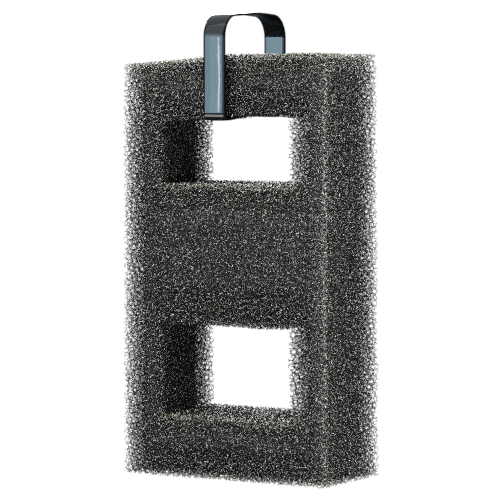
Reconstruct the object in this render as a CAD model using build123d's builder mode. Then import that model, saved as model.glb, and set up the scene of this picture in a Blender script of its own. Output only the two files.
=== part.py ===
from build123d import *

import os

# Filter sponge for a pond or aquarium filter: one die-cut block of open-cell
# foam with two windows through it, and a loose plastic carrying strap that
# loops round the bar above the upper window.
#
# Frame: +Z up, the block stands on Z = 0, the origin is the centre of its base.
# X runs across the wide face, Y through the block's depth. Millimetres.

# Foam block
BLOCK_WIDTH = 136.5
BLOCK_DEPTH = 65.0
BLOCK_HEIGHT = 250.0

# Windows, cut straight through the depth
WINDOW_X = 1.0
WINDOW_WIDTH = 86.0
LOWER_WINDOW_BASE = 37.0
LOWER_WINDOW_TOP = 90.5
UPPER_WINDOW_BASE = 174.0
UPPER_WINDOW_TOP = 212.5

# Carrying strap, a rigid flat band bent into a closed loop in the YZ plane
STRAP_X = -3.2
STRAP_WIDTH = 14.5
STRAP_THICKNESS = 1.5
STRAP_DEPTH = 74.0
STRAP_CLEARANCE = 0.3
STRAP_TOP = 275.0
STRAP_SHOULDER_DROP = 3.0
STRAP_TOP_RADIUS = 15.0
STRAP_BASE_RADIUS = 5.0

STRAP_BASE = UPPER_WINDOW_TOP - STRAP_CLEARANCE - STRAP_THICKNESS

os.makedirs("parts", exist_ok=True)


# Foam block: the outer block, less the two windows
with BuildPart() as foam_block:
    with BuildSketch(Plane.XZ) as face:
        with Locations((0, BLOCK_HEIGHT / 2)):
            Rectangle(BLOCK_WIDTH, BLOCK_HEIGHT)
        for base, top in (
            (LOWER_WINDOW_BASE, LOWER_WINDOW_TOP),
            (UPPER_WINDOW_BASE, UPPER_WINDOW_TOP),
        ):
            with Locations((WINDOW_X, (base + top) / 2)):
                Rectangle(WINDOW_WIDTH, top - base, mode=Mode.SUBTRACT)
    extrude(amount=BLOCK_DEPTH / 2, both=True)

foam_block.part.label = "foam_block"
export_step(foam_block.part, "parts/foam_block.step")


# Carrying strap: a closed outline with a slightly crowned top, large shoulder
# bends over the block and tight bends under the bar
half_depth = STRAP_DEPTH / 2
shoulder = STRAP_TOP - STRAP_SHOULDER_DROP
with BuildPart() as carry_strap:
    with BuildSketch(Plane.YZ.offset(STRAP_X)) as loop:
        with BuildLine() as outline:
            base = Polyline(
                (-half_depth, shoulder),
                (-half_depth, STRAP_BASE),
                (half_depth, STRAP_BASE),
                (half_depth, shoulder),
            )
            ThreePointArc(base @ 0, (0, STRAP_TOP), base @ 1)
        make_face()
        fillet(loop.vertices().group_by(Axis.Y)[-1], STRAP_TOP_RADIUS)
        fillet(loop.vertices().group_by(Axis.Y)[0], STRAP_BASE_RADIUS)
        offset(amount=-STRAP_THICKNESS, mode=Mode.SUBTRACT)
    extrude(amount=STRAP_WIDTH / 2, both=True)

carry_strap.part.label = "carry_strap"
export_step(carry_strap.part, "parts/carry_strap.step")
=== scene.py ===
import itertools
import math

import bmesh
import bpy
import numpy as np
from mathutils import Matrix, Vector


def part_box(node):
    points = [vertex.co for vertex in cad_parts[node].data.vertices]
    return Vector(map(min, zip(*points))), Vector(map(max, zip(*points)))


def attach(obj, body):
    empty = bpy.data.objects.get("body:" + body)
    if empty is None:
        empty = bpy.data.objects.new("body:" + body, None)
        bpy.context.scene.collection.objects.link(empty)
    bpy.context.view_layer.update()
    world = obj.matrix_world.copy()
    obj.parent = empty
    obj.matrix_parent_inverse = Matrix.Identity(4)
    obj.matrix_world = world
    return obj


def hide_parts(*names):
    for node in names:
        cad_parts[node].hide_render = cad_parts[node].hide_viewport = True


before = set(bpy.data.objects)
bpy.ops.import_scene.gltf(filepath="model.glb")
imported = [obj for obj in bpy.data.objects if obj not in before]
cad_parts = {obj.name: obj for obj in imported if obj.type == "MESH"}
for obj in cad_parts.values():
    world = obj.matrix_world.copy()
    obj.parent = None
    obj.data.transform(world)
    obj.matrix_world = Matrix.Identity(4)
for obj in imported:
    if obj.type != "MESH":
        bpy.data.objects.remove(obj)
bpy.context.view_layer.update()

# the foam and the strap are laid out in millimetres, the studio in metres
MM = 0.001
SEED = 20


# ----------------------------------------------------------------- block layout

def cut_planes():
    """The block's cut planes in millimetres, read from the CAD block's corners."""
    corners = np.array([v.co for v in bpy.data.objects["foam_block"].data.vertices]) / MM
    xs, ys, zs = (sorted({round(float(v), 3) for v in corners[:, i]}) for i in range(3))
    return xs, ys, zs


(LEFT, WINDOW_LEFT, WINDOW_RIGHT, RIGHT), (FRONT, BACK), HEIGHTS = cut_planes()
BASE, LOWER_SILL, LOWER_LINTEL, UPPER_SILL, UPPER_LINTEL, TOP = HEIGHTS
WINDOWS = [(LOWER_SILL, LOWER_LINTEL), (UPPER_SILL, UPPER_LINTEL)]
LOW_CORNER, HIGH_CORNER = np.array([LEFT, FRONT, BASE]), np.array([RIGHT, BACK, TOP])
STRAP_LOW, STRAP_HIGH = (np.array(corner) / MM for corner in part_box("carry_strap"))
STRAP_MIDDLE = (STRAP_LOW[0] + STRAP_HIGH[0]) / 2


def depth_inside(points):
    """Distances inward from the sides, the front and back, the ends and the windows, in
    that order. All are positive inside the foam. The last is negative inside a window."""
    x, _, z = points.T
    outer = np.minimum(points - LOW_CORNER, HIGH_CORNER - points)
    window = np.full(len(points), np.inf)
    for low, high in WINDOWS:
        out_x = np.maximum(WINDOW_LEFT - x, x - WINDOW_RIGHT)
        out_z = np.maximum(low - z, z - high)
        outside = np.hypot(np.maximum(out_x, 0), np.maximum(out_z, 0))
        inside = np.minimum(np.maximum(out_x, out_z), 0)
        window = np.minimum(window, outside + inside)
    return np.concatenate([outer, window[:, None]], 1)


# ------------------------------------------------------------ how the foam sits

CORNER_DROOP = 6.2          # the top sinks towards the left corner
DROOP_START = 8.0           # from this far right of the middle
DROOP_CURVE = 1.15          # and ever steeper from there
STRAP_PRESS = 4.2           # the strap's lower run lifts the bar's underside
PRESS_EDGES = (13.0, 7.5)   # from the strap's middle: where the lift starts and is full
PRESS_MIDDLE = 10.0         # the lift's highest place, front to back
PRESS_SPAN = 42.5
ARCH_RISE = 2.8             # the underside stays arched beside the strap
ARCH_MIDDLE = 25.0
ARCH_WIDTH = 13.0
LEFT_SAG = 1.3              # and sags towards the window's left wall
SAG_START = -8.0
SETTLED_BELOW = 8.0         # this far below the window's top the droop starts and the lift is full
LIFT_START = 10.0           # the lift starts this far above the upper window's sill
LIFT_HOLD = 2.0             # and stays full to this far above its top
FLARE = 2.1                 # the back right edge leans outward towards the base
FLARE_START = 25.0
FLARE_PIVOT = 0.65          # the height where it stays in place, as a share of the block's
WALL_SLANT = 1.8            # the windows widen to the left towards the back
WALL_REACH = 20.0
SURFACE_WAVE = 0.3          # how far the cut faces wander
WAVE_SCALES = (9.3, 12.1)
EDGE_LIGHT_REACH = 4.0             # how far from a cut edge or sill the struts get painted light
EDGE_FULL = 0.5             # and how near they are palest


def fade(value, start, end):
    """Rises smoothly from 0 at start to 1 at end."""
    t = np.clip((value - start) / (end - start), 0, 1)
    return t * t * (3 - 2 * t)


def edge_light_mask(points):
    """Where light is painted on the struts: 1 along the block's outer edges and the windows' sills, 0 a
    few millimetres away.
    """
    x, y, z = points.T
    nearest = np.sort(np.minimum(points - LOW_CORNER, HIGH_CORNER - points), axis=1)[:, 1]
    beside = np.maximum(WINDOW_LEFT - x, x - WINDOW_RIGHT)
    for low, _ in WINDOWS:
        sill = np.maximum(np.maximum(np.abs(z - low), y - FRONT), beside)
        nearest = np.minimum(nearest, sill)
    return fade(nearest, EDGE_LIGHT_REACH, EDGE_FULL)


def top_droop(x, z):
    """How far the foam sinks: most at the block's top left corner."""
    bottom = UPPER_LINTEL - SETTLED_BELOW
    beyond = np.clip((DROOP_START - x) / (DROOP_START - LEFT), 0, 1)
    return CORNER_DROOP * beyond ** DROOP_CURVE * np.clip((z - bottom) / (TOP - bottom), 0, 1)


def bar_lift(x, y, z):
    """How far the top bar's underside is lifted: full at the window's top, none at the
    block's top and below the window's upper part."""
    under = fade(z, TOP, UPPER_LINTEL + LIFT_HOLD)
    under = under * fade(z, UPPER_SILL + LIFT_START, UPPER_LINTEL - SETTLED_BELOW)
    along = np.clip((y - PRESS_MIDDLE) / PRESS_SPAN, -1, 1)
    strap = fade(np.abs(x - STRAP_MIDDLE), *PRESS_EDGES) * np.cos(along * math.pi / 2)
    arch = np.exp(-((x - ARCH_MIDDLE) / ARCH_WIDTH) ** 2) * fade(y, BACK, 0)
    sag = fade(x, SAG_START, WINDOW_LEFT)
    return under * (STRAP_PRESS * strap + ARCH_RISE * arch * (1 - strap) - LEFT_SAG * sag)


def settle(points):
    """Moves points of the straight block to where the cut, handled foam really lies."""
    x, y, z = points.T
    moved = points.copy()
    moved[:, 2] += bar_lift(x, y, z) - top_droop(x, z)
    behind = (y - FRONT) / (BACK - FRONT)
    moved[:, 0] += FLARE * (FLARE_PIVOT - z / TOP) * fade(x, FLARE_START, RIGHT) * behind
    moved[:, 0] -= WALL_SLANT * behind * fade(np.abs(x - WINDOW_LEFT), WALL_REACH, 0)
    for axis, (first, second) in enumerate(((1, 2), (2, 0), (0, 1))):
        wave = np.sin(points[:, first] / WAVE_SCALES[0] + axis)
        wave = wave * np.sin(points[:, second] / WAVE_SCALES[1] + 2 * axis)
        moved[:, axis] += SURFACE_WAVE * wave
    return moved


# --------------------------------------------------------------- foam cell mesh

CELL_VOLUME = 34            # cubic millimetres
CELLS_IN_TILE = 900
SPREAD_ROUNDS = 30          # the cell centres push each other apart this many times
SPREAD_REACH = 1.2          # when they are nearer than this, in average spacings
SPREAD_PUSH = 0.35
FAR = 9                     # longer than any distance in the unit box
NEAR_CELLS = 24             # how many neighbours may share a corner with a cell
BATCH = 50                  # cells worked on at a time, to save memory
SMALLEST_VOLUME = 1e-12
ROUNDING = 1e-9
RELAX_ROUNDS = 2            # nodes move halfway to their neighbours' middle this many times
STRUT_RADIUS = 0.222
STRUT_SPREAD = (0.8, 1.25)  # how much the radius varies from node to node
SKIN_DEPTH = 7.0            # the struts' depth below each face, where the core begins
EDGE_CHAMFER = 16.0         # how wide the core's own edges are cut off
MIN_STUB = 0.25             # cut struts shorter than this are left out
SLABS = 20
TILE_TURN = ((1, 2, 3), 0.7)    # axis, and angle in radians
HALF_DIAGONAL = 0.87        # from a tile's middle to its corner, as a share of its side
MARGIN = 8.0                # how far past the block the lattice is built before it is cut
TILE = (CELLS_IN_TILE * CELL_VOLUME) ** (1 / 3)
OTHER_THREE = np.array([[k for k in range(4) if k != slot] for slot in range(4)])


def scattered_centres(rng):
    """Cell centres in a unit box that repeats, pushed apart until evenly scattered."""
    points = rng.random((CELLS_IN_TILE, 3))
    spacing = CELLS_IN_TILE ** (-1 / 3)
    reach = SPREAD_REACH * spacing
    for _ in range(SPREAD_ROUNDS):
        way = points[:, None] - points[None]
        way -= np.round(way)
        gap = np.sqrt((way ** 2).sum(-1))
        np.fill_diagonal(gap, FAR)
        push = np.clip(1 - gap / reach, 0, None) / gap
        points = (points + np.einsum("ij,ijk->ik", push, way) * spacing * SPREAD_PUSH) % 1
    return points


def meeting_points(centres):
    """Every point where four cells meet: its place, the four cells, and which copy of each."""
    way = centres[None] - centres[:, None]
    way -= np.round(way)
    square = (way ** 2).sum(-1)
    np.fill_diagonal(square, FAR)
    order = np.argsort(square, 1)[:, :NEAR_CELLS]
    rows = np.arange(len(centres))[:, None]
    way = way[rows, order]
    square = (way ** 2).sum(-1)
    threes = np.array(list(itertools.combinations(range(NEAR_CELLS), 3)))
    places, cells, copies = [], [], []
    for first in range(0, len(centres), BATCH):
        block = slice(first, first + BATCH)
        sides = way[block][:, threes]
        sound = np.abs(np.linalg.det(sides)) > SMALLEST_VOLUME
        half = square[block][:, threes] / 2
        middle = np.zeros(sides.shape[:2] + (3,))
        middle[sound] = np.linalg.solve(sides[sound], half[sound][..., None])[..., 0]
        room = square[block][:, None] - 2 * np.einsum("mtk,mnk->mtn", middle, way[block])
        row, three = np.nonzero(sound & (room > -ROUNDING).all(-1))
        own = row + first
        other = order[own[:, None], threes[three]]
        copy = np.round(centres[own][:, None] + way[own[:, None], threes[three]] - centres[other])
        places.append(centres[own] + middle[row, three])
        cells.append(np.concatenate([own[:, None], other], 1))
        copies.append(np.concatenate([np.zeros((len(own), 1, 3)), copy], 1).astype(int))
    return np.concatenate(places), np.concatenate(cells), np.concatenate(copies)


def foam_tile(rng):
    """The struts of one repeating box of foam. Returns its nodes, and for each node and
    slot the node at the strut's far end, that end's slot and its box. Slot k leads away
    from the node's k-th cell, so the two ends of a strut share their other three."""
    places, cells, copies = meeting_points(scattered_centres(rng))
    rank = np.argsort(cells, 1)
    rows = np.arange(len(cells))[:, None]
    cells, copies = cells[rows, rank], copies[rows, rank]
    places = places - copies[:, 0]
    copies = copies - copies[:, :1]
    key = np.concatenate([cells, copies.reshape(-1, 12)], 1)
    _, once = np.unique(key, axis=0, return_index=True)
    places, cells, copies = places[once], cells[once], copies[once]

    count = len(places)
    trio_cells = cells[:, OTHER_THREE]
    trio_copies = copies[:, OTHER_THREE]
    anchor = trio_copies[:, :, 0]
    relative = (trio_copies - anchor[:, :, None]).reshape(count, 4, 9)
    key = np.concatenate([trio_cells, relative], 2).reshape(count * 4, 12)
    _, group = np.unique(key, axis=0, return_inverse=True)
    pairs = np.argsort(group.ravel(), kind="stable").reshape(-1, 2)
    partner = np.empty(count * 4, int)
    partner[pairs[:, 0]], partner[pairs[:, 1]] = pairs[:, 1], pairs[:, 0]
    anchor = anchor.reshape(-1, 3)
    step = (anchor - anchor[partner]).reshape(count, 4, 3)
    far_node = (partner // 4).reshape(count, 4)
    far_slot = (partner % 4).reshape(count, 4)
    for _ in range(RELAX_ROUNDS):
        places = 0.5 * places + 0.5 * (places[far_node] + step).mean(1)
    return places, far_node, far_slot, step


def turn_matrix(axis, angle):
    """The rotation about an axis by an angle in radians."""
    axis = np.array(axis, float) / np.linalg.norm(axis)
    k = np.array([[0, -axis[2], axis[1]], [axis[2], 0, -axis[0]], [-axis[1], axis[0], 0]])
    return np.eye(3) + math.sin(angle) * k + (1 - math.cos(angle)) * k @ k


def build_lattice():
    """The tile repeated, turned so that no cut plane meets it the same way twice. Returns
    the nodes, and for each node's four slots the strut's other node and slot, its direction,
    and the node's corner on the far side from it."""
    rng = np.random.default_rng(SEED)
    places, far_node, far_slot, step = foam_tile(rng)
    turn = turn_matrix(*TILE_TURN)
    floor, ceiling = LOW_CORNER - MARGIN, HIGH_CORNER + MARGIN
    box = np.array(list(itertools.product(*zip(floor, ceiling))))
    spans = box @ turn / TILE
    low = np.floor(spans.min(0)).astype(int) - 1
    high = np.ceil(spans.max(0)).astype(int) + 2
    tiles = np.stack(np.meshgrid(*map(np.arange, low, high), indexing="ij"), -1).reshape(-1, 3)
    middle = (tiles + 0.5) @ turn.T * TILE
    reach = TILE * HALF_DIAGONAL
    near = np.all((middle > floor - reach) & (middle < ceiling + reach), axis=1)
    tiles = tiles[near]
    index = np.full(high - low + 2, -1)
    index[tuple((tiles - low + 1).T)] = np.arange(len(tiles))

    size = len(places)
    nodes = ((tiles[:, None] + places[None]) @ turn.T * TILE).reshape(-1, 3)
    target = index[tuple(np.moveaxis(tiles[:, None, None] + step[None] - low + 1, -1, 0))]
    other = np.where(target >= 0, target * size + far_node[None], -1).reshape(-1, 4)
    slot = np.tile(far_slot, (len(tiles), 1))
    kept = np.all((nodes > floor) & (nodes < ceiling), axis=1)
    renumber = np.where(kept, np.cumsum(kept) - 1, -1)
    nodes, slot = nodes[kept], slot[kept]
    other = np.where(other[kept] >= 0, renumber[other[kept]], -1)
    way = nodes[other] - nodes[:, None]
    way[other < 0] = (0, 0, 1)
    way /= np.linalg.norm(way, axis=2, keepdims=True)
    radius = STRUT_RADIUS * rng.uniform(*STRUT_SPREAD, size=len(nodes))
    corners = nodes[:, None] - way * radius[:, None, None]
    return nodes, other, slot, way, corners


def ring_order(corners, node, slot, way):
    """The three corners of a node round one strut, anticlockwise seen from outside."""
    order = OTHER_THREE[slot]
    ring = corners[node[:, None], order]
    normal = np.cross(ring[:, 1] - ring[:, 0], ring[:, 2] - ring[:, 0])
    return (normal * way).sum(1) < 0


def foam_cells():
    """The foam's struts down to the core, one piece for each slab of the block's height."""
    nodes, other, far_slot, way, corners = build_lattice()
    depths = depth_inside(nodes)
    depth = depths.min(1)
    ordered = np.sort(depths, 1)
    core = (ordered[:, 0] > SKIN_DEPTH) & (ordered[:, 0] + ordered[:, 1] > EDGE_CHAMFER + SKIN_DEPTH)
    inside = depth > 0

    a, slot_a = np.nonzero(other >= 0)
    b = other[a, slot_a]
    slot_b = far_slot[a, slot_a]
    ok = (a < b) & (inside[a] | inside[b]) & ~(core[a] & core[b])
    a, b, slot_a, slot_b = a[ok], b[ok], slot_a[ok], slot_b[ok]
    swap = ~inside[a]
    a, b = np.where(swap, b, a), np.where(swap, a, b)
    slot_a, slot_b = np.where(swap, slot_b, slot_a), np.where(swap, slot_a, slot_b)
    # where a strut crosses the cut surface, from its inner node
    whole = inside[b]
    share = np.where(whole, 1.0, depth[a] / np.maximum(depth[a] - depth[b], ROUNDING))
    keep = whole | (np.linalg.norm(nodes[b] - nodes[a], axis=1) * share > MIN_STUB)
    a, b, slot_a, slot_b, whole, share = (v[keep] for v in (a, b, slot_a, slot_b, whole, share))
    levels = np.quantile(nodes[a, 2], np.linspace(0, 1, SLABS + 1)[1:-1])
    slab = np.searchsorted(levels, nodes[a, 2])
    pieces = []
    for number in range(SLABS):
        m = slab == number
        pieces.append(slab_mesh(
            number, a[m], b[m], slot_a[m], slot_b[m], whole[m], share[m], nodes, way, corners))
    return pieces


def slab_mesh(number, a, b, slot_a, slot_b, whole, share, nodes, way, corners):
    """One slab's struts: three-sided tubes from node a to node b, the ones that aren't
    whole cut off flat at the block's surface, and a lid on each side of a node with none."""
    used = np.unique(np.concatenate([a, b[whole]]))
    place = np.full(len(nodes), -1)
    place[used] = np.arange(len(used))
    filled = np.zeros((len(used), 4), bool)
    filled[place[a], slot_a] = True
    filled[place[b[whole]], slot_b[whole]] = True

    inner = OTHER_THREE[slot_a]
    start = place[a][:, None] * 4 + inner
    finish = np.empty_like(start)
    finish[whole] = place[b[whole]][:, None] * 4 + OTHER_THREE[slot_b[whole]]
    cut = ~whole
    reach = (nodes[b[cut]] - nodes[a[cut]]) * share[cut][:, None]
    tips = corners[a[cut][:, None], inner[cut]] + reach[:, None]
    finish[cut] = len(used) * 4 + np.arange(cut.sum() * 3).reshape(-1, 3)
    reverse = ring_order(corners, a, slot_a, way[a, slot_a])
    start[reverse] = start[reverse][:, ::-1]
    finish[reverse] = finish[reverse][:, ::-1]
    quads = np.concatenate([
        np.stack([start[:, i], start[:, (i + 1) % 3], finish[:, (i + 1) % 3], finish[:, i]], 1)
        for i in range(3)])

    row, slot = np.nonzero(~filled)
    node = used[row]
    lids = row[:, None] * 4 + OTHER_THREE[slot]
    reverse = ring_order(corners, node, slot, way[node, slot])
    lids[reverse] = lids[reverse][:, ::-1]
    points = np.concatenate([corners[used].reshape(-1, 3), tips.reshape(-1, 3)])
    mesh = mesh_from_arrays(
        f"foam_cells_{number + 1:02d}", settle(points), quads, np.concatenate([finish[cut], lids]))
    # the mask for the painted light along the cut edges and the windows' sills
    painted_edge_light = mesh.attributes.new("edge_light_mask", "FLOAT", "POINT")
    painted_edge_light.data.foreach_set("value", edge_light_mask(points).astype(np.float32))
    return bpy.data.objects.new(mesh.name, mesh)


def mesh_from_arrays(name, points, quads, triangles):
    """A smooth-shaded mesh, from points in millimetres."""
    mesh = bpy.data.meshes.new(name)
    mesh.vertices.add(len(points))
    mesh.vertices.foreach_set("co", (points * MM).astype(np.float32).ravel())
    loops = np.concatenate([quads.ravel(), triangles.ravel()])
    mesh.loops.add(len(loops))
    mesh.loops.foreach_set("vertex_index", loops.astype(np.int32))
    sizes = np.concatenate([np.full(len(quads), 4), np.full(len(triangles), 3)])
    mesh.polygons.add(len(sizes))
    starts = np.concatenate([[0], np.cumsum(sizes)[:-1]])
    mesh.polygons.foreach_set("loop_start", starts.astype(np.int32))
    mesh.polygons.foreach_set("use_smooth", np.ones(len(sizes), bool))
    mesh.update(calc_edges=True)
    mesh.validate()
    return mesh


# -------------------------------------------------------------------- materials

STRUT_SHADE_SCALE = 260
STRUT_DARK = (0.0045, 0.0049, 0.0049, 1)
STRUT_LIGHT = (0.013, 0.0132, 0.0115, 1)
# painted light: the pale warm tint given to struts along the lit cut edges and sills
STRUT_PAINTED_LIGHT = (0.115, 0.112, 0.09, 1)
STRUT_ROUGHNESS = 0.2
STRUT_SPECULAR = 1.0
STRAP_DARK = (0.007, 0.009, 0.011, 1)
STRAP_LIGHT = (0.012, 0.016, 0.019, 1)
STRAP_ROUGHNESS = (0.02, 0.05)
STRAP_FLOW = (260, 60, 60)  # the flow marks' scale: fine across the band, drawn out along it
STRAP_BUMP = (0.04, 0.4 * MM)
CORE_STRUT = (0.016, 0.017, 0.019, 1)
# painted shade: the near-black of the unlit foam deeper in, between the struts
CORE_PAINTED_SHADE = (0.003, 0.0034, 0.004, 1)
CORE_ROUGHNESS = 0.6
CORE_BUMP = (0.8, 0.6 * MM)


def principled(name):
    """A new material, with its nodes, its links and its main shader."""
    material = bpy.data.materials.new(name)
    material.use_nodes = True
    tree = material.node_tree
    return material, tree.nodes, tree.links, tree.nodes["Principled BSDF"]


def colour_ramp(nodes, start, end):
    """A ramp between two (position, colour) pairs."""
    ramp = nodes.new("ShaderNodeValToRGB")
    for element, (position, colour) in zip(ramp.color_ramp.elements, (start, end)):
        element.position = position
        element.color = colour
    return ramp


def add_bump(nodes, links, shader, height, strength, distance):
    """Fine relief on a shader's surface, from a node's height output."""
    bump = nodes.new("ShaderNodeBump")
    bump.inputs["Strength"].default_value = strength
    bump.inputs["Distance"].default_value = distance
    links.new(height, bump.inputs["Height"])
    links.new(bump.outputs["Normal"], shader.inputs["Normal"])
    return bump


def socket(sockets, identifier):
    """One socket of a node that has several of the same name."""
    return next(s for s in sockets if s.identifier == identifier)


def strut_material():
    """Smooth charcoal foam struts, their tone drifting slightly at random through the block, with
    painted light, a pale warm tint, along its cut edges and the windows' sills."""
    material, nodes, links, shader = principled("foam_strut")
    place = nodes.new("ShaderNodeTexCoord")
    drift = nodes.new("ShaderNodeTexNoise")
    drift.inputs["Scale"].default_value = STRUT_SHADE_SCALE
    drift.inputs["Detail"].default_value = 2
    links.new(place.outputs["Object"], drift.inputs["Vector"])
    tint = colour_ramp(nodes, (0.35, STRUT_DARK), (0.65, STRUT_LIGHT))
    links.new(drift.outputs["Fac"], tint.inputs["Fac"])
    # painted light: struts along the cut edges and sills are mixed towards a pale warm tint
    painted_edge_light = nodes.new("ShaderNodeAttribute")
    painted_edge_light.attribute_name = "edge_light_mask"
    painted_light_mix = nodes.new("ShaderNodeMix")
    painted_light_mix.data_type = "RGBA"
    socket(painted_light_mix.inputs, "B_Color").default_value = STRUT_PAINTED_LIGHT
    links.new(painted_edge_light.outputs["Fac"], socket(painted_light_mix.inputs, "Factor_Float"))
    links.new(tint.outputs["Color"], socket(painted_light_mix.inputs, "A_Color"))
    links.new(socket(painted_light_mix.outputs, "Result_Color"), shader.inputs["Base Color"])
    shader.inputs["Roughness"].default_value = STRUT_ROUGHNESS
    shader.inputs["Specular IOR Level"].default_value = STRUT_SPECULAR
    return material


def core_material():
    """The depth of the foam: faint strut edges with near black cells between them, which are painted
    shade of the unlit foam further in.
    """
    material, nodes, links, shader = principled("foam_core")
    place = nodes.new("ShaderNodeTexCoord")
    cells = nodes.new("ShaderNodeTexVoronoi")
    cells.feature = "DISTANCE_TO_EDGE"
    cells.inputs["Scale"].default_value = 1 / (CELL_VOLUME ** (1 / 3) * MM)
    links.new(place.outputs["Object"], cells.inputs["Vector"])
    tint = colour_ramp(nodes, (0.03, CORE_STRUT), (0.14, CORE_PAINTED_SHADE))
    links.new(cells.outputs["Distance"], tint.inputs["Fac"])
    links.new(tint.outputs["Color"], shader.inputs["Base Color"])
    bump = add_bump(nodes, links, shader, cells.outputs["Distance"], *CORE_BUMP)
    bump.invert = True
    shader.inputs["Roughness"].default_value = CORE_ROUGHNESS
    return material


def strap_material():
    """Glossy moulded plastic, blue-black, with faint flow marks along the band."""
    material, nodes, links, shader = principled("strap_plastic")
    place = nodes.new("ShaderNodeTexCoord")
    stretch = nodes.new("ShaderNodeMapping")
    stretch.inputs["Scale"].default_value = STRAP_FLOW
    flow = nodes.new("ShaderNodeTexNoise")
    flow.inputs["Scale"].default_value = 1
    flow.inputs["Detail"].default_value = 3
    links.new(place.outputs["Object"], stretch.inputs["Vector"])
    links.new(stretch.outputs["Vector"], flow.inputs["Vector"])
    tint = colour_ramp(nodes, (0.3, STRAP_DARK), (0.7, STRAP_LIGHT))
    links.new(flow.outputs["Fac"], tint.inputs["Fac"])
    links.new(tint.outputs["Color"], shader.inputs["Base Color"])
    polish = nodes.new("ShaderNodeMapRange")
    polish.inputs["To Min"].default_value = STRAP_ROUGHNESS[0]
    polish.inputs["To Max"].default_value = STRAP_ROUGHNESS[1]
    links.new(flow.outputs["Fac"], polish.inputs["Value"])
    links.new(polish.outputs["Result"], shader.inputs["Roughness"])
    add_bump(nodes, links, shader, flow.outputs["Fac"], *STRAP_BUMP)
    return material


# ------------------------------------------------------------------------- core

CORE_VOXEL = 2.0
WIDEST_CHAMFER = 0.46       # as a share of the bar's smallest side


def chamfered_box(mesh, low, high, chamfer):
    """One inner bar of the core: a box with all its edges chamfered."""
    size = [h - l for l, h in zip(low, high)]
    middle = [(h + l) / 2 for l, h in zip(low, high)]
    made = bmesh.ops.create_cube(mesh, size=1)
    for vertex in made["verts"]:
        vertex.co = Vector([m + c * s for m, c, s in zip(middle, vertex.co, size)])
    edges = list({e for v in made["verts"] for e in v.link_edges})
    cut = min(chamfer, WIDEST_CHAMFER * min(size))
    bmesh.ops.bevel(mesh, geom=edges, offset=cut, segments=2, profile=0.5, affect="EDGES")


def foam_core():
    """The solid heart of the foam: five overlapping bars joined into one skin."""
    bars = [
        (LEFT, WINDOW_LEFT, BASE, TOP),
        (WINDOW_RIGHT, RIGHT, BASE, TOP),
        (LEFT, RIGHT, BASE, LOWER_SILL),
        (LEFT, RIGHT, LOWER_LINTEL, UPPER_SILL),
        (LEFT, RIGHT, UPPER_LINTEL, TOP),
    ]
    mesh = bmesh.new()
    for x0, x1, z0, z1 in bars:
        low = [(v + SKIN_DEPTH) * MM for v in (x0, FRONT, z0)]
        high = [(v - SKIN_DEPTH) * MM for v in (x1, BACK, z1)]
        chamfered_box(mesh, low, high, EDGE_CHAMFER * MM)
    data = bpy.data.meshes.new("foam_core")
    mesh.to_mesh(data)
    mesh.free()
    core = bpy.data.objects.new("foam_core", data)
    bpy.context.scene.collection.objects.link(core)
    remesh = core.modifiers.new("Remesh", "REMESH")
    remesh.mode = "VOXEL"
    remesh.voxel_size = CORE_VOXEL * MM
    apply_modifiers(core)
    places = np.empty(len(core.data.vertices) * 3)
    core.data.vertices.foreach_get("co", places)
    core.data.vertices.foreach_set("co", (settle(places.reshape(-1, 3) / MM) * MM).ravel())
    core.data.update()
    return core


def apply_modifiers(piece):
    """Swaps a piece's mesh for what its modifiers make of it."""
    graph = bpy.context.evaluated_depsgraph_get()
    graph.update()
    done = bpy.data.meshes.new_from_object(piece.evaluated_get(graph))
    piece.modifiers.clear()
    piece.data = done


# ------------------------------------------------------------------------ strap

STRAP_THICKNESS = 1.5
STRAP_EDGE = 0.55           # radius of the band's rounded edges
STRAP_CROWN = 0.2           # how far the band's middle stands proud of its edges
STRAP_STEP = 0.6            # spacing of the rings along the band
OUTER_POINTS = 13           # points across the band's outer and inner face
INNER_POINTS = 7
STRAP_RIPPLE = ((0.018, 9.0, 0), (0.006, 4.1, 1))   # rise, length and shift of its two waves
RIPPLE_SPAN = 7.0           # distance from the band's middle where the ripple is full
# corners of the band's outer outline, front top first, with each bend's radius
STRAP_CORNERS = [
    (STRAP_LOW[1], STRAP_HIGH[2] - 2.2, 14.0),
    (4.0, STRAP_HIGH[2] + 0.1, 220.0),
    (STRAP_HIGH[1], STRAP_HIGH[2] - 1.6, 14.5),
    (STRAP_HIGH[1], STRAP_LOW[2] + 2.0, 5.0),
    (STRAP_LOW[1], STRAP_LOW[2] + 0.2, 4.6),
]
STRAP_BOW = 3.0             # rise of the lower run where it presses into the foam
STRAP_FLAT_END = 6.0        # the run stays level this far in from each leg
LOWER_RUN = 5.0             # the lower run's path lies within this of the strap's base


def rounded_outline(corners, step):
    """The closed outline through the corners with its bends, as evenly spaced points."""
    points = []
    count = len(corners)
    for i, (y, z, radius) in enumerate(corners):
        corner = np.array([y, z])
        before = np.array(corners[i - 1][:2]) - corner
        after = np.array(corners[(i + 1) % count][:2]) - corner
        before /= np.linalg.norm(before)
        after /= np.linalg.norm(after)
        half = math.acos(float(before @ after)) / 2
        reach = radius / math.tan(half)
        inward = (before + after) / np.linalg.norm(before + after)
        centre = corner + inward * radius / math.sin(half)
        start = corner + before * reach - centre
        end = corner + after * reach - centre
        turn = math.pi - 2 * half
        side = 1 if start[0] * end[1] - start[1] * end[0] > 0 else -1
        pieces = max(4, int(radius * turn / step))
        for k in range(pieces + 1):
            angle = side * turn * k / pieces
            c, s = math.cos(angle), math.sin(angle)
            points.append(centre + np.array([c * start[0] - s * start[1], s * start[0] + c * start[1]]))
    points = np.array(points + points[:1])
    travel = np.concatenate([[0], np.cumsum(np.linalg.norm(np.diff(points, axis=0), axis=1))])
    at = np.linspace(0, travel[-1], int(travel[-1] / step), endpoint=False)
    return np.stack([np.interp(at, travel, points[:, i]) for i in (0, 1)], 1)


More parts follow.
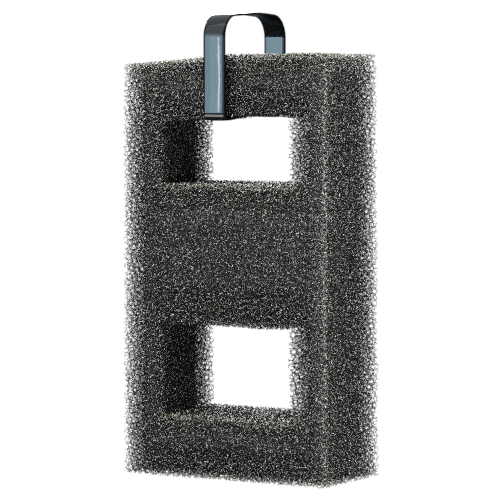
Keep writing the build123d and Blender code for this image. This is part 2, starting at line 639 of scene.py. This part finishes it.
def strap_section(width):
    """The band's cross-section: across, and outward from its outer face."""
    half = width / 2
    middle = half - STRAP_EDGE
    outer, inner = STRAP_EDGE + STRAP_CROWN, STRAP_THICKNESS - STRAP_EDGE
    # each rounded edge's centre, and the directions of its points in degrees
    bends = [
        (middle, outer, (60, 30, 0)), (middle, inner, (0, -30, -60, -90)),
        (-middle, inner, (-90, -120, -150, 180)), (-middle, outer, (180, 150, 120)),
    ]
    corners = [
        [(x + STRAP_EDGE * math.cos(t), STRAP_EDGE * math.sin(t) - depth) for t in np.radians(angles)]
        for x, depth, angles in bends
    ]
    crown = [(x, -STRAP_CROWN * (x / half) ** 2) for x in np.linspace(-middle, middle, OUTER_POINTS)]
    flat = [(x, -STRAP_THICKNESS) for x in np.linspace(middle, -middle, INNER_POINTS)[1:-1]]
    return crown + corners[0] + corners[1] + flat + corners[2] + corners[3]


def strap_band():
    """The strap: its section carried round the outline, lower run bowed up into the foam."""
    path = rounded_outline(STRAP_CORNERS, STRAP_STEP)
    low = STRAP_LOW[2]
    run = np.clip(1 - np.abs(path[:, 0]) / (STRAP_HIGH[1] - STRAP_FLAT_END), 0, 1)
    bow = STRAP_BOW * np.sin(run * math.pi / 2) ** 2
    path[:, 1] += np.where(path[:, 1] < low + LOWER_RUN, bow, 0)
    ahead, behind = np.roll(path, -1, 0), np.roll(path, 1, 0)
    along = ahead - behind
    along /= np.linalg.norm(along, axis=1, keepdims=True)
    outward = np.stack([-along[:, 1], along[:, 0]], 1)
    middle = path.mean(0)
    outward *= np.sign(((path - middle) * outward).sum(1))[:, None]
    section = strap_section(STRAP_HIGH[0] - STRAP_LOW[0])
    height = path[:, 1]
    ripple = sum(rise * np.sin(height / length + shift) for rise, length, shift in STRAP_RIPPLE)
    points = []
    for place, out, wave in zip(path, outward, ripple):
        for across, lift in section:
            lean = wave * across / RIPPLE_SPAN
            points.append((STRAP_MIDDLE + across, *(place + out * (lift + lean))))
    rings, around = len(path), len(section)
    quads = [
        (i * around + j, i * around + (j + 1) % around,
         (i + 1) % rings * around + (j + 1) % around, (i + 1) % rings * around + j)
        for i in range(rings) for j in range(around)
    ]
    mesh = mesh_from_arrays("carry_strap_band", np.array(points), np.array(quads), np.zeros((0, 3), int))
    band = bpy.data.objects.new(mesh.name, mesh)
    bpy.context.scene.collection.objects.link(band)
    make_outward(band)
    return band


def make_outward(piece):
    """Turns a closed mesh's faces to point outward."""
    mesh = bmesh.new()
    mesh.from_mesh(piece.data)
    bmesh.ops.recalc_face_normals(mesh, faces=mesh.faces)
    if mesh.calc_volume(signed=True) < 0:
        bmesh.ops.reverse_faces(mesh, faces=mesh.faces)
    mesh.to_mesh(piece.data)
    mesh.free()


# ----------------------------------------------------------------------- studio

CAMERA_TURN = 29.69         # degrees to the right of the block's front
CAMERA_REACH = 1.6635
CAMERA_HEIGHT = 0.2331
CAMERA_PITCH = -3.41
CAMERA_LENS = 201.97
CAMERA_FAR = 100
BACKDROP = (1, 1, 1, 1)
AMBIENT = 0.09
AMBIENT_TINT = (0.82, 0.93, 1.1, 1)
FLOOR_GLOW = 1.0
FLOOR_REACH = 60
INDIRECT_LIMIT = 0.2

BLOCK_SPOT = (0, 0, 0.13)
STRAP_SPOT = (0, 0, 0.245)
# name, place, what it points at, size, watts, colour
FOAM_LAMPS = [
    ("key", (-0.2, -1.1, 0.95), BLOCK_SPOT, (0.45, 0.45), 42, (0.97, 1.0, 0.95)),
    ("side", (1.3, 0.1, 0.6), BLOCK_SPOT, (0.5, 0.5), 50, (1, 1, 1)),
    ("over", (0.0, -0.65, 1.2), BLOCK_SPOT, (0.35, 0.35), 30, (1, 0.96, 0.84)),
    ("fill", (0.9, -1.2, 0.06), BLOCK_SPOT, (0.5, 0.5), 11, (0.85, 0.93, 1.0)),
    ("low", (0.25, -0.4, 0.03), (0, 0, 0.02), (0.2, 0.2), 1.3, (1, 1, 0.94)),
]
# the strap is glossy, so these are what it mirrors: its faces, its streak and its bends
STRAP_LAMPS = [
    ("panel", (-0.81, -1.245, 0.26), STRAP_SPOT, (0.46, 0.36), 3.4, (0.54, 0.82, 1.0)),
    ("haze", (-0.62, -0.95, 1.05), STRAP_SPOT, (0.6, 1.4), 3.6, (0.90, 0.97, 1.0)),
    ("streak", (-0.392, -0.793, 0.24), STRAP_SPOT, (0.013, 0.1), 0.05, (0.92, 1.0, 0.98)),
    ("canopy", (-0.69, 0.2, 1.4), STRAP_SPOT, (2.0, 1.2), 6.0, (0.95, 0.98, 1.0)),
    ("margin", (-0.26, -1.477, 0.26), STRAP_SPOT, (0.75, 0.4), 1.1, (0.7, 0.85, 1.0)),
    ("blend", (-0.76, -1.24, 0.53), STRAP_SPOT, (0.5, 0.2), 0.6, (0.62, 0.86, 1.0)),
    ("glow", (-0.735, -1.29, 0.24), STRAP_SPOT, (0.13, 0.3), 0.13, (0.8, 0.95, 0.95)),
    ("card", (-0.2, -0.29, 0.012), (-0.2, -0.29, 1), (0.22, 0.26), 1.0, (1, 1, 1)),
]
REAR_LAMP = ("rear", (-0.9, 1.1, 0.7), BLOCK_SPOT, (0.6, 0.6), 24, (1, 1, 1))


def add_camera():
    data = bpy.data.cameras.new("camera")
    data.sensor_width = 36
    data.lens = CAMERA_LENS
    data.clip_end = CAMERA_FAR
    camera = bpy.data.objects.new("camera", data)
    turn = math.radians(CAMERA_TURN)
    camera.location = (CAMERA_REACH * math.sin(turn), -CAMERA_REACH * math.cos(turn), CAMERA_HEIGHT)
    camera.rotation_euler = (math.radians(90 + CAMERA_PITCH), 0, turn)
    bpy.context.scene.collection.objects.link(camera)
    bpy.context.scene.camera = camera


def add_lamp(name, spot, target, size, power, colour, lit=None):
    """An area lamp, which lights only the pieces in the lit collection, or everything."""
    data = bpy.data.lights.new(name, "AREA")
    data.shape = "RECTANGLE"
    data.size, data.size_y = size
    data.energy = power
    data.color = colour
    lamp = bpy.data.objects.new(name, data)
    lamp.location = spot
    lamp.visible_camera = False
    lamp.light_linking.receiver_collection = lit
    lamp.rotation_euler = (Vector(target) - Vector(spot)).to_track_quat("-Z", "Y").to_euler()
    bpy.context.scene.collection.objects.link(lamp)


def lit_group(name, pieces):
    """A collection of pieces for lamps to be limited to. It isn't part of the scene."""
    group = bpy.data.collections.new(name)
    for piece in pieces:
        group.objects.link(piece)
    return group


def add_lamps(foam, strap):
    foam_only = lit_group("lit_foam", foam)
    strap_only = lit_group("lit_strap", strap)
    for lamp in FOAM_LAMPS:
        add_lamp(*lamp, foam_only)
    add_lamp(*REAR_LAMP)
    for lamp in STRAP_LAMPS:
        add_lamp(*lamp, strap_only)


def add_world():
    """A white backdrop to the camera, and a dim bluish room to everything else."""
    world = bpy.data.worlds.new("studio")
    bpy.context.scene.world = world
    world.use_nodes = True
    nodes, links = world.node_tree.nodes, world.node_tree.links
    room = nodes["Background"]
    room.inputs["Color"].default_value = AMBIENT_TINT
    room.inputs["Strength"].default_value = AMBIENT
    backdrop = nodes.new("ShaderNodeBackground")
    backdrop.inputs["Color"].default_value = BACKDROP
    backdrop.inputs["Strength"].default_value = 1.0
    path = nodes.new("ShaderNodeLightPath")
    mix = nodes.new("ShaderNodeMixShader")
    links.new(path.outputs["Is Camera Ray"], mix.inputs["Fac"])
    links.new(room.outputs["Background"], mix.inputs[1])
    links.new(backdrop.outputs["Background"], mix.inputs[2])
    links.new(mix.outputs["Shader"], nodes["World Output"].inputs["Surface"])


def add_floor():
    """A white floor that meets the backdrop without a line and throws no light on the foam."""
    mesh = bmesh.new()
    bmesh.ops.create_grid(mesh, x_segments=2, y_segments=2, size=FLOOR_REACH)
    data = bpy.data.meshes.new("floor")
    mesh.to_mesh(data)
    mesh.free()
    floor = bpy.data.objects.new("floor", data)
    material, _, _, shader = principled("floor")
    shader.inputs["Base Color"].default_value = (0, 0, 0, 1)
    shader.inputs["Roughness"].default_value = 0.9
    shader.inputs["Specular IOR Level"].default_value = 0
    shader.inputs["Emission Color"].default_value = BACKDROP
    shader.inputs["Emission Strength"].default_value = FLOOR_GLOW
    data.materials.append(material)
    floor.visible_diffuse = False
    floor.visible_glossy = False
    bpy.context.scene.collection.objects.link(floor)


# ------------------------------------------------------------------------ build

add_camera()
add_world()
add_floor()

cells = foam_cells()
strut = strut_material()
for piece in cells:
    bpy.context.scene.collection.objects.link(piece)
    piece.data.materials.append(strut)
    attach(piece, "block")
    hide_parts("foam_block")

core = foam_core()
core.data.materials.append(core_material())
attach(core, "block")
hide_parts("foam_block")

strap = strap_band()
strap.data.materials.append(strap_material())
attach(strap, "strap")
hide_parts("carry_strap")

add_lamps([core, *cells], [strap])

scene = bpy.context.scene
scene.view_settings.view_transform = "Standard"
scene.cycles.use_denoising = False
scene.cycles.sample_clamp_indirect = INDIRECT_LIMIT
